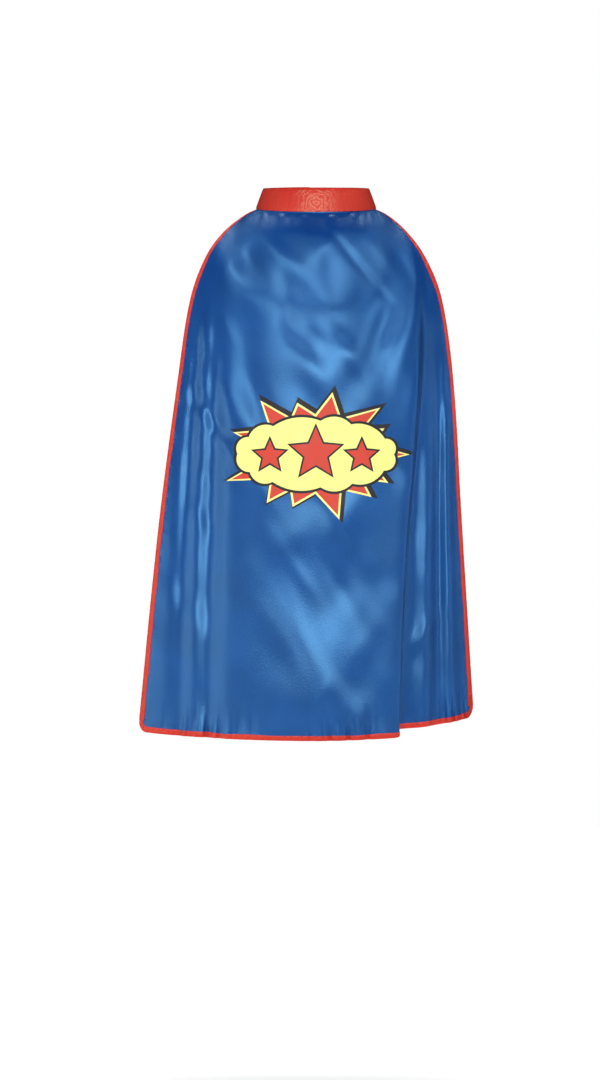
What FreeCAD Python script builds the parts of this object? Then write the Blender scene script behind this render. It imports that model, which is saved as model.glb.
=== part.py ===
import FreeCAD, Part
import math
import os

from FreeCAD import Vector

# A child's superhero cape with a stand-up collar band that closes at the throat.
# Millimetres. +Z is up, the cape hangs behind the wearer on the -Y side and +X is the wearer's right.
# The origin is the middle of the neck, level with the collar's lower edge at the sides.

# collar: an oval band that leans in towards its top and sits lower at the nape
COLLAR_HALF_WIDTH = 78.5
COLLAR_HALF_DEPTH = 66.0
COLLAR_LEAN = 9.5
NAPE_DROP = 11.0
COLLAR_HEIGHT = 26.0
NAPE_EXTRA = 3.0
PLY = 0.6
INTERFACING = 0.6
PLY_GAP = 0.05
COLLAR_THICK = 2 * PLY + INTERFACING + 2 * PLY_GAP
INTERFACING_MARGIN = 2.0

# the collar's ends swing open at the sides of the throat, and the right end laps over the left one
SWING_AT = 120.0
SWING_GAP = 0.25
RIGHT_TIP_AT = 207.0
LEFT_TIP_AT = 178.0
RIGHT_STANDS_OUT = 2.1
LEFT_STANDS_IN = 2.4
LAP_STARTS = 125.0
LAP_ENDS = 160.0
TIP_ROUND = 8.0

# hook and loop closure tapes
TAPE_FROM = 182.0
TAPE_TO = 204.0
TAPE_THICK = 0.9
TAPE_MARGIN = 5.0
TAPE_GAP = 0.05
TAPE_SEAM_INSET = 1.6

# sewing thread
THREAD_WIDE = 0.8
THREAD_THICK = 0.4
NECK_SEAM_UP = 2.5

# care label sewn into the neck seam
LABEL_WIDTH = 26.0
LABEL_LENGTH = 34.0
LABEL_THICK = 0.4
LABEL_HOLD = 4.0
LABEL_CLEAR = 0.3

# cape cloth
CLOTH = 0.8
CORNER = 15.0
EDGE_PER_S = 250.0
EDGE_PER_T = 830.0

# bias binding, folded over both sides and the hem
BINDING_WIDTH = 7.0
BINDING_THICK = 0.5
BINDING_GAP = 0.35
BINDING_TOP = 0.004
BINDING_SEAM = 5.4
BINDING_THREAD_GAP = 0.2

# guide curves of the hanging cape, down the cloth from the neckline (0) to the hem (1)
DOWN = (0, 0.06, 0.13, 0.2, 0.3, 0.45, 0.7, 1)
CENTRE_Y = (-65, -92, -110, -118, -122, -121, -118, -118)
CENTRE_Z = (-12, -45, -90, -138, -208, -312, -484, -685)
RIGHT_X = (68.4, 91, 117, 139, 160, 175, 187, 203)
RIGHT_Y = (31, 2, -34, -56, -70, -74, -66, -52)
RIGHT_Z = (4.2, -8, -34, -66, -122, -226, -416, -666)
LEFT_X = (-68.4, -91, -119, -141.5, -161, -177, -202, -228)
LEFT_Y = (31, 2, -34, -56, -70, -76, -72, -62)
LEFT_Z = (4.2, -8, -34, -68, -124, -228, -420, -676)
WRAP = (118, 104, 88, 76, 66, 60, 56, 54)

# the pleat: the middle of the cape ends in a fold that laps over the right part, which hangs behind it
PLEAT_AT = ((0.12, 0.94), (0.25, 0.79), (0.45, 0.66), (0.7, 0.53), (1, 0.43))
PLEAT_HALF = ((0.12, 0.13), (0.45, 0.10), (1, 0.07))
PLEAT_LAP = ((0.1, 0), (0.3, 3), (0.6, 9), (1, 15))
PLEAT_STEP = ((0.1, 0), (0.25, 6), (0.6, 17), (1, 26))
PLEAT_RISE = ((0.5, 0), (1, 7))
PLEAT_CLOSE = (0.31, 0.56)

# ridges (+) and valleys (-) that run down the cape: place, half width and height down the cloth
WAVES = (
    (((0.2, -0.88), (1, -0.71)), ((0.2, 0.055), (1, 0.05)), ((0.25, 0), (0.45, -7), (1, -7))),
    (((0.2, -0.8), (1, -0.6)), ((0.2, 0.05), (1, 0.045)), ((0.2, 0), (0.5, 7), (0.7, 2), (1, 2))),
    (((0.2, -0.74), (0.45, -0.66), (1, -0.545)), ((0.2, 0.06), (1, 0.04)), ((0.25, 0), (0.5, -8), (1, -6))),
    (((0.2, 0.95), (0.45, 0.84), (1, 0.72)), ((0.2, 0.05), (1, 0.045)), ((0.3, 0), (0.7, -9), (1, -8))),
    (((0.2, 0.97), (0.45, 0.9), (1, 0.81)), ((0.2, 0.05), (1, 0.045)), ((0.3, 0), (0.7, 5), (1, 5))),
)

# printed emblem: a comic burst with a cloud and three stars, each colour one film on the last
EMBLEM_X = -1.0
EMBLEM_Z = -323.0
FILM = 0.12
FILM_GAP = 0.1
SPIKES = 14
BURST_HALF_WIDTH = 106.0
BURST_HALF_HEIGHT = 71.0
VALLEY = 0.66
KEYLINE = 2.6
OUTLINE = 3.2
SHADOW_SHIFT = 2.4
LOBES = 12
CLOUD_HALF_WIDTH = 99.0
CLOUD_HALF_HEIGHT = 42.0
LOBE_BULGE = 7.5
CLOUD_OUTLINE = 3.4
STAR_PLACES = ((0.0, 1.0, 33.0), (-58.0, -2.0, 20.0), (58.0, -2.0, 20.0))
STAR_OUTLINE = 2.4
STAR_WAIST = 0.45
TIP_REACH = 2.2

KEEP_DIRECTIONS = 1


def through(knots, t):
    """The value at t of a smooth curve through the knots (t, value), which runs on past its last knot."""
    last = len(knots) - 1
    i = 0
    while i < last - 1 and t > knots[i + 1][0]:
        i += 1
    (t0, v0), (t1, v1) = knots[i], knots[i + 1]
    before, after = knots[max(i - 1, 0)], knots[min(i + 2, last)]
    slope0 = (v1 - before[1]) / (t1 - before[0])
    slope1 = (after[1] - v0) / (after[0] - t0)
    span = t1 - t0
    u = max((t - t0) / span, 0.0)
    ends = v0 * (1 + 2 * u) * (1 - u) ** 2 + v1 * u * u * (3 - 2 * u)
    return ends + span * (slope0 * u * (1 - u) ** 2 - slope1 * u * u * (1 - u))


def guide(values, t):
    return through(tuple(zip(DOWN, values)), t)


def grown_after(knots, t):
    """As through, but nothing before the first knot."""
    return through(knots, t) if t > knots[0][0] else 0.0


def smooth_step(low, high, x):
    u = min(max((x - low) / (high - low), 0.0), 1.0)
    return u * u * (3 - 2 * u)


def cape_point(s, t):
    """The middle of the cloth: s runs from the left edge (-1) to the right (1), t down to the hem (1)."""
    wrap = math.radians(guide(WRAP, t))
    turn = abs(s) * wrap
    share = (1 - math.cos(turn)) / (1 - math.cos(wrap))
    side_x, side_y, side_z = (RIGHT_X, RIGHT_Y, RIGHT_Z) if s > 0 else (LEFT_X, LEFT_Y, LEFT_Z)
    x = guide(side_x, t) * math.sin(turn) / math.sin(wrap)
    y = guide(CENTRE_Y, t) * (1 - share) + guide(side_y, t) * share
    z = guide(CENTRE_Z, t) * (1 - share) + guide(side_z, t) * share
    for place, half, height in WAVES:
        u = (s - through(place, t)) / through(half, t)
        y -= grown_after(height, t) * math.exp(-u * u)
    u = (s - through(PLEAT_AT, t)) / through(PLEAT_HALF, t)
    over = (1 + math.tanh(1.5 * u)) / 2
    x -= grown_after(PLEAT_LAP, t) * 2.33 * u * math.exp(-u * u)
    y += grown_after(PLEAT_STEP, t) * over
    z += grown_after(PLEAT_RISE, t) * over
    return Vector(x, y, z)


def cape_slopes(s, t):
    """How the cloth runs across and down at (s, t), per unit of s and of t."""
    step = 0.002
    above, below = max(t - step, 0.0), min(t + step, 1.0)
    across = (cape_point(s + step, t) - cape_point(s - step, t)) * (0.5 / step)
    down = (cape_point(s, below) - cape_point(s, above)) * (1 / (below - above))
    return across, down


def cape_off(s, t, out):
    """A point that stands off the middle of the cloth by out, away from the wearer."""
    across, down = cape_slopes(s, t)
    normal = down.cross(across).normalize()
    return cape_point(s, t) + normal * out


def corner_rise(s):
    """How far the rounded corners lift the hem, as a part of the cape's length."""
    reach = CORNER / EDGE_PER_S
    q = min(max((abs(s) - 1 + reach) / reach, 0.0), 1.0)
    return CORNER / EDGE_PER_T * (1 - math.sqrt(1 - q * q))


def spread(start, end, count):
    return [start + (end - start) * i / (count - 1) for i in range(count)]


def solid_of(faces):
    shell = Part.Shell(faces)
    shell.sewShape()
    solid = Part.Solid(shell)
    if solid.Volume < 0:
        solid.reverse()
    return solid


def ruled(one, two):
    """A ruled face between two lines that run the same way."""
    return Part.makeRuledSurface(one, two, KEEP_DIRECTIONS)


def line_through(points):
    if len(points) == 2:
        return Part.LineSegment(points[0], points[1]).toShape()
    curve = Part.BSplineCurve()
    curve.interpolate(points)
    return curve.toShape()


def strip(front, back):
    """A solid between two faces, each given as rows of points; rows are smooth, and flat from row to row."""
    front_lines = [line_through(row) for row in front]
    back_lines = [line_through(row) for row in back]
    faces = [ruled(front_lines[i], back_lines[i]) for i in (0, -1)]
    for lines in (front_lines, back_lines):
        faces += [ruled(one, two) for one, two in zip(lines, lines[1:])]
    for end in (0, -1):
        for i in range(len(front) - 1):
            near = Part.LineSegment(front[i][end], front[i + 1][end]).toShape()
            far = Part.LineSegment(back[i][end], back[i + 1][end]).toShape()
            faces.append(ruled(near, far))
    return solid_of(faces)


def smooth_sheet(front, back):
    """A solid between two smooth faces, each through a grid of points."""
    surfaces = []
    for grid in (front, back):
        surface = Part.BSplineSurface()
        surface.interpolate(grid)
        surfaces.append(surface)
    faces = [surface.toShape() for surface in surfaces]
    for end in (0, 1):
        sides = [surface.uIso(surface.bounds()[end]).toShape() for surface in surfaces]
        faces.append(ruled(sides[0], sides[1]))
        sides = [surface.vIso(surface.bounds()[2 + end]).toShape() for surface in surfaces]
        faces.append(ruled(sides[0], sides[1]))
    return solid_of(faces)


# ---- collar ----

def collar_height(angle):
    return COLLAR_HEIGHT + NAPE_EXTRA * math.cos(math.radians(angle))


def collar_point(angle, height, out):
    """On the band: angle from the nape, towards the wearer's right; out of its outer face by out."""
    turn = math.radians(angle)
    lean = COLLAR_LEAN * height / COLLAR_HEIGHT
    x = (COLLAR_HALF_WIDTH - lean + out) * math.sin(turn)
    y = -(COLLAR_HALF_DEPTH - lean + out) * math.cos(turn)
    return Vector(x, y, height - NAPE_DROP * math.cos(turn))


def lap(angle):
    """How far the collar's ends move apart where one lies over the other."""
    part = smooth_step(LAP_STARTS, LAP_ENDS, abs(angle))
    return part * (RIGHT_STANDS_OUT if angle > 0 else -LEFT_STANDS_IN)


def band(angles, outer, inner, low, high):
    """A ply of the collar over the angles, from outer to inner below the outer face."""
    def face(depth):
        rows = []
        for level in (low, high):
            rows.append([collar_point(a, level(a), lap(a) - depth) for a in angles])
        return rows
    return strip(face(outer), face(inner))


def tip_drop(angle, tip):
    """How far the rounded corner at a collar end lowers its top edge."""
    away = math.radians(abs(tip - angle)) * COLLAR_HALF_DEPTH
    q = min(max(1 - away / TIP_ROUND, 0.0), 1.0)
    return TIP_ROUND * (1 - math.sqrt(1 - q * q))


def end_angles(start, tip, inset):
    """Angles along a collar end, closer together at its rounded tip."""
    sign = 1 if tip > start else -1
    last = tip - sign * math.degrees(inset / COLLAR_HALF_DEPTH)
    round_part = math.degrees(TIP_ROUND / COLLAR_HALF_DEPTH)
    turns = [90.0 * i / 6 for i in range(7)]
    bend = [last - sign * round_part * (1 - math.sin(math.radians(a))) for a in turns]
    return spread(start, bend[0], 20)[:-1] + bend


def collar_plies(angles, top_of):
    """Outer ply, lining and the interfacing sealed between them."""
    inner_at = COLLAR_THICK - PLY
    margin = INTERFACING_MARGIN
    outer = band(angles, 0.0, PLY, lambda a: 0.0, top_of)
    lining = band(angles, inner_at, COLLAR_THICK, lambda a: 0.0, top_of)
    mid = PLY + PLY_GAP
    inside = angles[1:-1]
    core = band(inside, mid, mid + INTERFACING, lambda a: margin, lambda a: top_of(a) - margin)
    return outer, lining, core


def ribbon(points, normals, sides):
    """A flat thread line along points: normals point off the cloth, sides across the line."""
    half = THREAD_WIDE / 2
    low = [[p + s * k for p, s in zip(points, sides)] for k in (-half, half)]
    high = [[p + n * THREAD_THICK for p, n in zip(row, normals)] for row in low]
    return strip(high, low)


def collar_thread(angles, height, out, outward):
    """A row of stitches around the band at one height, on its outer or inner face."""
    points = [collar_point(a, height, out + lap(a)) for a in angles]
    normals = [(collar_point(a, height, 1) - collar_point(a, height, 0)) * outward for a in angles]
    sides = [(collar_point(a, height + 1, 0) - collar_point(a, height, 0)).normalize() for a in angles]
    return ribbon(points, normals, sides)


def collar_cross_thread(angle, low, high, out, outward):
    """A row of stitches up the band at one angle."""
    levels = spread(low, high, 4)
    points = [collar_point(angle, h, out + lap(angle)) for h in levels]
    normal = (collar_point(angle, 0, 1) - collar_point(angle, 0, 0)) * outward
    side = (collar_point(angle + 1, 0, 0) - collar_point(angle, 0, 0)).normalize()
    return ribbon(points, [normal] * len(levels), [side] * len(levels))


def tape(angles, out_from, out_to):
    def face(out):
        rows = []
        for level in (TAPE_MARGIN, COLLAR_HEIGHT - NAPE_EXTRA - TAPE_MARGIN):
            rows.append([collar_point(a, level, out + lap(a)) for a in angles])
        return rows
    return strip(face(out_to), face(out_from))


def tape_seams(angles, out, outward):
    """The rectangle of stitches that holds a closure tape."""
    inset = math.degrees(TAPE_SEAM_INSET / COLLAR_HALF_DEPTH)
    low = TAPE_MARGIN + TAPE_SEAM_INSET
    high = COLLAR_HEIGHT - NAPE_EXTRA - TAPE_MARGIN - TAPE_SEAM_INSET
    inside = spread(angles[0] + inset, angles[-1] - inset, len(angles))
    rows = [collar_thread(inside, h, out, outward) for h in (low, high)]
    clear = THREAD_WIDE
    for angle in (inside[0], inside[-1]):
        rows.append(collar_cross_thread(angle, low + clear, high - clear, out, outward))
    return Part.makeCompound(rows)


def collar_nodes():
    nodes = {}
    gap = SWING_GAP
    back = spread(-SWING_AT + gap, SWING_AT - gap, 49)
    names = ("outer", "lining", "interfacing")
    for name, shape in zip(names, collar_plies(back, collar_height)):
        nodes["collar_back_" + name] = shape
    for side, sign, tip in (("right", 1, RIGHT_TIP_AT), ("left", -1, -LEFT_TIP_AT)):
        angles = end_angles(sign * (SWING_AT + gap), tip, 0.0)

        def top(a, tip=tip):
            return collar_height(a) - tip_drop(a, tip)
        for name, shape in zip(names, collar_plies(angles, top)):
            nodes["collar_" + side + "_" + name] = shape
    seam = spread(back[0] + gap, back[-1] - gap, 41)
    nodes["neck_seam_stitching"] = collar_thread(seam, NECK_SEAM_UP, -COLLAR_THICK - PLY_GAP, -1)
    hook_face = -COLLAR_THICK - TAPE_GAP
    hook = spread(TAPE_FROM, TAPE_TO, 9)
    nodes["hook_tape"] = tape(hook, hook_face, hook_face - TAPE_THICK)
    loop = spread(TAPE_TO - 360, TAPE_FROM - 360, 9)
    nodes["loop_tape"] = tape(loop, TAPE_GAP, TAPE_GAP + TAPE_THICK)
    nodes["hook_tape_stitching"] = tape_seams(hook, PLY_GAP, 1)
    nodes["loop_tape_stitching"] = tape_seams(loop, -COLLAR_THICK - PLY_GAP, -1)
    return nodes


def care_label():
    """A blank folded tab that hangs inside the nape from the neck seam."""
    half = LABEL_WIDTH / 2
    spans = spread(-half, half, 7)
    inset = COLLAR_THICK + PLY_GAP + THREAD_THICK + LABEL_CLEAR

    def row(z_from, depth):
        points = []
        for x in spans:
            angle = math.degrees(math.asin(x / COLLAR_HALF_WIDTH))
            top = collar_point(angle, LABEL_HOLD, -inset - depth)
            points.append(Vector(x, top.y, top.z + z_from))
        return points
    drops = (0.0, -LABEL_LENGTH / 2, -LABEL_LENGTH)
    return strip([row(d, 0.0) for d in drops], [row(d, LABEL_THICK) for d in drops])


# ---- cape ----

def hem_places():
    """Places across the cape between its rounded corners, closer together where the pleat folds."""
    reach = CORNER / EDGE_PER_S
    left = spread(-1 + reach, PLEAT_CLOSE[0], 96)
    right = spread(PLEAT_CLOSE[1], 1 - reach, 42)
    return left[:-1] + spread(PLEAT_CLOSE[0], PLEAT_CLOSE[1], 46) + right[1:]


def panel():
    """The cloth as one solid, smooth across and flat from row to row down the cape."""
    reach = CORNER / EDGE_PER_S
    bend = [1 - reach + reach * math.sin(math.radians(15 * i)) for i in range(1, 7)]
    across = [-s for s in reversed(bend)] + hem_places() + bend
    down = [0.0, 0.008, 0.016, 0.03, 0.045] + spread(0.06, 0.3, 13) + spread(0.318, 0.6, 16)
    down += spread(0.63, 0.94, 11) + [0.965, 0.985, 1.0]
    faces = []
    for out in (CLOTH / 2, -CLOTH / 2):
        faces.append([[cape_off(s, v * (1 - corner_rise(s)), out) for s in across] for v in down])
    return strip(faces[0], faces[1])


def edge_track():
    """The cape's edge from the left shoulder, round the hem, to the right one, as (s, t, kind)."""
    reach_t = CORNER / EDGE_PER_T
    down = [BINDING_TOP, 0.02, 0.04] + spread(0.06, 1 - reach_t, 38)
    turns = [15.0 * i for i in range(1, 6)]
    track = [(-1.0, t, "side", 0.0) for t in down]
    track += [(-1.0, 1.0, "corner", a) for a in turns]
    track += [(s, 1.0, "hem", 0.0) for s in hem_places()]
    track += [(1.0, 1.0, "corner", a) for a in reversed(turns)]
    track += [(1.0, t, "side", 0.0) for t in reversed(down)]
    return track


def inside_edge(station, inset):
    """The place on the cloth that lies inset from the edge at a station of the track."""
    s, t, kind, turn = station
    sign = 1 if s > 0 else -1
    if kind == "corner":
        part = (CORNER - inset) / CORNER
        reach_s, reach_t = CORNER / EDGE_PER_S, CORNER / EDGE_PER_T
        angle = math.radians(turn)
        return (
            sign * (1 - reach_s + reach_s * part * math.cos(angle)),
            1 - reach_t + reach_t * part * math.sin(angle),
        )
    if kind == "hem":
        return s, t - inset / EDGE_PER_T
    return s - sign * inset / cape_slopes(s, t)[0].Length, t


def edge_row(track, inset, out):
    row = []
    for station in track:
        s, t = inside_edge(station, inset)
        row.append(cape_off(s, t, out))
    return row


def binding():
    """A tape folded round the edge: out on the front, over the edge and back on the inside."""
    track = edge_track()
    near = CLOTH / 2 + BINDING_GAP
    far = near + BINDING_THICK
    middle = BINDING_WIDTH / 2
    skins = []
    for out, edge in ((far, -BINDING_GAP - BINDING_THICK), (near, -BINDING_GAP)):
        front = ((BINDING_WIDTH, out), (middle, out), (edge, out))
        back = [(inset, -side) for inset, side in reversed(front)]
        skins.append([edge_row(track, inset, side) for inset, side in (*front, *back)])
    return strip(skins[0], skins[1])


def binding_stitching():
    track = edge_track()
    rows = []
    half = THREAD_WIDE / 2
    near = CLOTH / 2 + BINDING_GAP + BINDING_THICK + BINDING_THREAD_GAP
    for side in (1, -1):
        low = [edge_row(track, BINDING_SEAM + k, side * near) for k in (half, -half)]
        high = [edge_row(track, BINDING_SEAM + k, side * (near + THREAD_THICK)) for k in (half, -half)]
        rows.append(strip(high, low))
    return Part.makeCompound(rows)


# ---- emblem ----

def grow(outline, width):
    """An outline with every edge moved out by width; sharp tips reach out a little less."""
    grown = []
    count = len(outline)
    for i, (x, z) in enumerate(outline):
        (xa, za), (xb, zb) = outline[i - 1], outline[(i + 1) % count]
        into, out = math.atan2(z - za, x - xa), math.atan2(zb - z, xb - x)
        half = ((out - into + math.pi) % (2 * math.pi) - math.pi) / 2
        aim = into + half - math.pi / 2
        reach = width * min(1 / math.cos(half), TIP_REACH)
        grown.append((x + reach * math.cos(aim), z + reach * math.sin(aim)))
    return grown


def burst():
    """Uneven spikes around an oval."""
    outline = []
    for k in range(SPIKES):
        tip = 2 * math.pi * (k + 0.16 * math.sin(2.3 * k)) / SPIKES
        size = 1 + 0.12 * math.sin(4.1 * k + 0.6)
        outline.append((BURST_HALF_WIDTH * size * math.cos(tip), BURST_HALF_HEIGHT * size * math.sin(tip)))
        dip = 2 * math.pi * (k + 0.5) / SPIKES
        low_x, low_z = BURST_HALF_WIDTH * VALLEY, BURST_HALF_HEIGHT * VALLEY
        outline.append((low_x * math.cos(dip), low_z * math.sin(dip)))
    return outline


def cloud_knots():
    knots = []
    for k in range(LOBES):
        angle = 2 * math.pi * (k + 0.12 * math.sin(3.7 * k)) / LOBES
        knots.append((CLOUD_HALF_WIDTH * math.cos(angle), CLOUD_HALF_HEIGHT * math.sin(angle)))
    return knots


def star(x, z, size):
    points = []
    for k in range(10):
        angle = math.pi / 2 + math.pi * k / 5
        radius = size if k % 2 == 0 else size * STAR_WAIST
        points.append((x + radius * math.cos(angle), z + radius * math.sin(angle)))
    return points


def at_emblem(x, z):
    return Vector(EMBLEM_X + x, 0, EMBLEM_Z + z)


def straight_wire(outline, shift=0.0):
    points = [at_emblem(x + shift, z + shift) for x, z in outline]
    return Part.makePolygon(points + points[:1])


def cloud_wire(width):
    """Lobes as arcs that bulge out of the oval, all grown by width."""
    knots = grow(cloud_knots(), width)
    edges = []
    for i, (x0, z0) in enumerate(knots):
        x1, z1 = knots[(i + 1) % len(knots)]
        away = math.atan2(-(x1 - x0), z1 - z0)
        mid = ((x0 + x1) / 2 + LOBE_BULGE * math.cos(away), (z0 + z1) / 2 + LOBE_BULGE * math.sin(away))
        edges.append(Part.Arc(at_emblem(x0, z0), at_emblem(*mid), at_emblem(x1, z1)).toShape())
    return Part.Wire(edges)


def film_sheet(level):
    """The cloth's outer face over the emblem, as a thin sheet at one level of the stack."""
    across = spread(-0.78, 0.8, 61)
    down = spread(0.26, 0.66, 25)
    near = CLOTH / 2 + FILM_GAP + level * (FILM + FILM_GAP)
    grids = [[[cape_off(s, t, out) for t in down] for s in across] for out in (near + FILM, near)]
    return smooth_sheet(grids[0], grids[1])


def film(level, wires):
    sheet = film_sheet(level)
    pieces = []
    for wire in wires:
        prism = Part.Face(wire).extrude(Vector(0, -300, 0))
        pieces += sheet.common(prism).Solids
    return pieces[0] if len(pieces) == 1 else Part.makeCompound(pieces)


def emblem_nodes():
    stars = [star(*place) for place in STAR_PLACES]
    keyline = grow(burst(), KEYLINE)
    shadow = grow(burst(), KEYLINE + OUTLINE)
    layers = (
        ("emblem_shadow", [straight_wire(shadow, SHADOW_SHIFT)]),
        ("emblem_keyline", [straight_wire(keyline)]),
        ("emblem_burst", [straight_wire(burst())]),
        ("emblem_cloud_outline", [cloud_wire(CLOUD_OUTLINE)]),
        ("emblem_cloud", [cloud_wire(0.0)]),
        ("emblem_star_outlines", [straight_wire(grow(one, STAR_OUTLINE)) for one in stars]),
        ("emblem_stars", [straight_wire(one) for one in stars]),
    )
    return {name: film(level, wires) for level, (name, wires) in enumerate(layers)}


def main():
    nodes = collar_nodes()
    nodes["care_label"] = care_label()
    nodes["cape_panel"] = panel()
    nodes["edge_binding"] = binding()
    nodes["binding_stitching"] = binding_stitching()
    nodes.update(emblem_nodes())
    os.makedirs("parts", exist_ok=True)
    for name, shape in nodes.items():
        solids = shape.Solids
        print(name, shape.isValid(), len(solids), "solids", round(shape.Volume, 2), "mm3")
        shape.exportStep("parts/" + name + ".step")


main()
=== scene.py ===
import math
import random
from functools import cache

import bpy
import numpy as np
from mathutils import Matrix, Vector
from mathutils.bvhtree import BVHTree
from mathutils.geometry import delaunay_2d_cdt


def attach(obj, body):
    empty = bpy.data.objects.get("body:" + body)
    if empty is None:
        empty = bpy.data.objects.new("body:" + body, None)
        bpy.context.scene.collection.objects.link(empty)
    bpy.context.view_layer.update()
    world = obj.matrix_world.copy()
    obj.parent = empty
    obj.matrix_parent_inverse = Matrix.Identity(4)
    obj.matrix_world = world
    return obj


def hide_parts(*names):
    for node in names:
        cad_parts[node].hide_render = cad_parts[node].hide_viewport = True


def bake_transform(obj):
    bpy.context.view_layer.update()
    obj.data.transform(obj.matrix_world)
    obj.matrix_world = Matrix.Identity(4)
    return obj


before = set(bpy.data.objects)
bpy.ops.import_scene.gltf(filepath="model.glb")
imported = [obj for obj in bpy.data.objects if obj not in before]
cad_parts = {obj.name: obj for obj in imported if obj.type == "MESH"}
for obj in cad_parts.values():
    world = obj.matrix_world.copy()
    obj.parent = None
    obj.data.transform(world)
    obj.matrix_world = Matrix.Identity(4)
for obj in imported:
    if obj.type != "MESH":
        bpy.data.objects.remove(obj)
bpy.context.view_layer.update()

# A child's superhero cape, hanging as on a wearer's shoulders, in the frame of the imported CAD.
# Lengths are millimetres until a mesh is made. +X is the wearer's right and -Y is the cape's printed side.
MM = 0.001

# ---- the hanging form: the CAD's guide curves, down the cloth from the neckline (0) to the hem (1) ----
DOWN = (0, 0.06, 0.13, 0.2, 0.3, 0.45, 0.7, 1)
CENTRE_Y = (-65, -92, -110, -118, -122, -121, -118, -118)
CENTRE_Z = (-12, -45, -90, -138, -208, -312, -484, -685)
RIGHT_X = (68.4, 91, 117, 139, 160, 175, 187, 203)
RIGHT_Y = (31, 2, -34, -56, -70, -74, -66, -52)
RIGHT_Z = (4.2, -8, -34, -66, -122, -226, -416, -666)
LEFT_X = (-68.4, -91, -119, -141.5, -161, -177, -202, -228)
LEFT_Y = (31, 2, -34, -56, -70, -76, -72, -62)
LEFT_Z = (4.2, -8, -34, -68, -124, -228, -420, -676)
WRAP = (118, 104, 88, 76, 66, 60, 56, 54)
CORNER = 15.0
EDGE_PER_S = 250.0
EDGE_PER_T = 830.0
CORNER_S = CORNER / EDGE_PER_S
CORNER_T = CORNER / EDGE_PER_T

# the pleat: the middle of the cape ends in a fold that laps over the right part, which hangs behind it
PLEAT_AT = ((0.12, 0.94), (0.25, 0.79), (0.45, 0.66), (0.7, 0.53), (1, 0.43))
PLEAT_HALF = ((0.12, 0.13), (0.45, 0.10), (1, 0.07))
PLEAT_LAP = ((0.1, 0), (0.3, 3), (0.6, 9), (1, 15))
PLEAT_STEP = ((0.1, 0), (0.25, 6), (0.6, 17), (1, 26))
PLEAT_RISE = ((0.5, 0), (1, 7))

# ridges (+) and valleys (-) that run down the cape: place, half width and height down the cloth
WAVES = (
    (((0.2, -0.88), (1, -0.71)), ((0.2, 0.06), (1, 0.07)), ((0.25, 0), (0.45, -6), (1, -6))),
    (((0.2, -0.8), (1, -0.6)), ((0.2, 0.07), (1, 0.07)), ((0.2, 0), (0.5, 2), (0.7, 1), (1, 1))),
    (((0.2, -0.74), (0.45, -0.66), (1, -0.545)), ((0.2, 0.06), (0.5, 0.08), (1, 0.07)),
     ((0.25, 0), (0.5, -10), (1, -10))),
    (((0.2, 0.95), (0.45, 0.84), (1, 0.72)), ((0.2, 0.05), (1, 0.06)), ((0.3, 0), (0.7, -9), (1, -9))),
    (((0.2, 0.97), (0.45, 0.9), (1, 0.81)), ((0.2, 0.05), (1, 0.06)), ((0.3, 0), (0.7, 4), (1, 4))),
    (((0.3, 0.76), (0.7, 0.63), (1, 0.535)), ((0.3, 0.05), (1, 0.055)), ((0.35, 0), (0.6, -8), (1, -9))),
)

# soft swells (+) and hollows (-) of the hanging satin: x, z, half width, half height, slant, height
SWELLS = (
    (-104, -66, 12, 24, 0.6, 2.2), (-58, -58, 14, 24, -0.5, 2.6),
    (-30, -84, 20, 26, -0.7, 3), (14, -58, 14, 20, 0.3, 2),
    (38, -64, 8, 30, -0.7, -2.2), (62, -92, 8, 34, -0.8, -2),
    (84, -66, 12, 24, -0.6, 2.4), (112, -86, 10, 26, -0.5, -2),
    (-60, -120, 34, 34, -0.3, 4.2), (10, -140, 40, 34, 0.2, 3.8),
    (34, -204, 26, 36, 0.2, 3.6), (-20, -200, 30, 40, -0.4, 2.4),
    (-134, -196, 16, 50, -0.2, 2.4), (-86, -196, 20, 52, -0.1, -3.4),
    (-82, -78, 14, 30, -0.5, -2.6), (80, -168, 14, 44, 0.3, -3.2),
    (112, -180, 13, 56, 0.2, 3.2), (146, -146, 13, 34, 0.1, 1.8),
    (-106, -272, 20, 50, -0.3, 3), (62, -256, 24, 36, 0.1, 1.8),
    (-30, -268, 30, 30, 0, 1.4), (-27, -428, 26, 22, 0.3, 1),
    (-14, -622, 40, 64, 0.1, 4.2), (-44, -552, 20, 40, -0.5, 1.6),
    (34, -640, 26, 44, -0.3, 1.6), (24, -500, 26, 46, 0.3, -1.4),
    (-70, -440, 22, 50, 0.1, 1.2), (-92, -642, 22, 44, -0.3, -2.4),
    (62, -560, 18, 48, 0.5, 1.2), (135, -560, 12, 46, 0.7, 1.2),
)

# small dents that handling leaves all over the satin; fewer show lower down, where the cloth hangs freely
DENTS = 190
DENT_X = (-225, 200)
DENT_Z = (-680, -30)
DENT_CALM = (-470, -340)
DENT_WIDE = (9.0, 24.0)
DENT_LONG = (18.0, 52.0)
DENT_HEIGHT = 0.09
DENT_SLANT = (-0.8, 0.35)

# puckers that the seams draw into the cloth at the hem, the sides and the neck: wavelengths and heights
PUCKER_WAVES = ((13.0, 1.1), (8.5, 0.8), (21.0, 1.9))
HEM_PUCKER_REACH = 26.0
SIDE_PUCKER_REACH = 9.0
SIDE_PUCKER_SHARE = 0.22
NECK_PUCKER_REACH = 24.0
NECK_PUCKER_SHARE = 0.4

# ---- cloth, trims and thread ----
CLOTH = 0.4
ACROSS = 261
ALONG = 250
BINDING_WIDTH = 7.0
BINDING_GAP = 0.08
BINDING_THICK = 0.5
BINDING_SEAM = 5.4
THREAD = 0.28
STITCH = 2.4
STITCH_PITCH = 3.2
STITCH_JITTER = 0.12
NECK_TUCK = 3.0
SIDE_STATIONS = 330
HEM_STATIONS = 360

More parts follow.
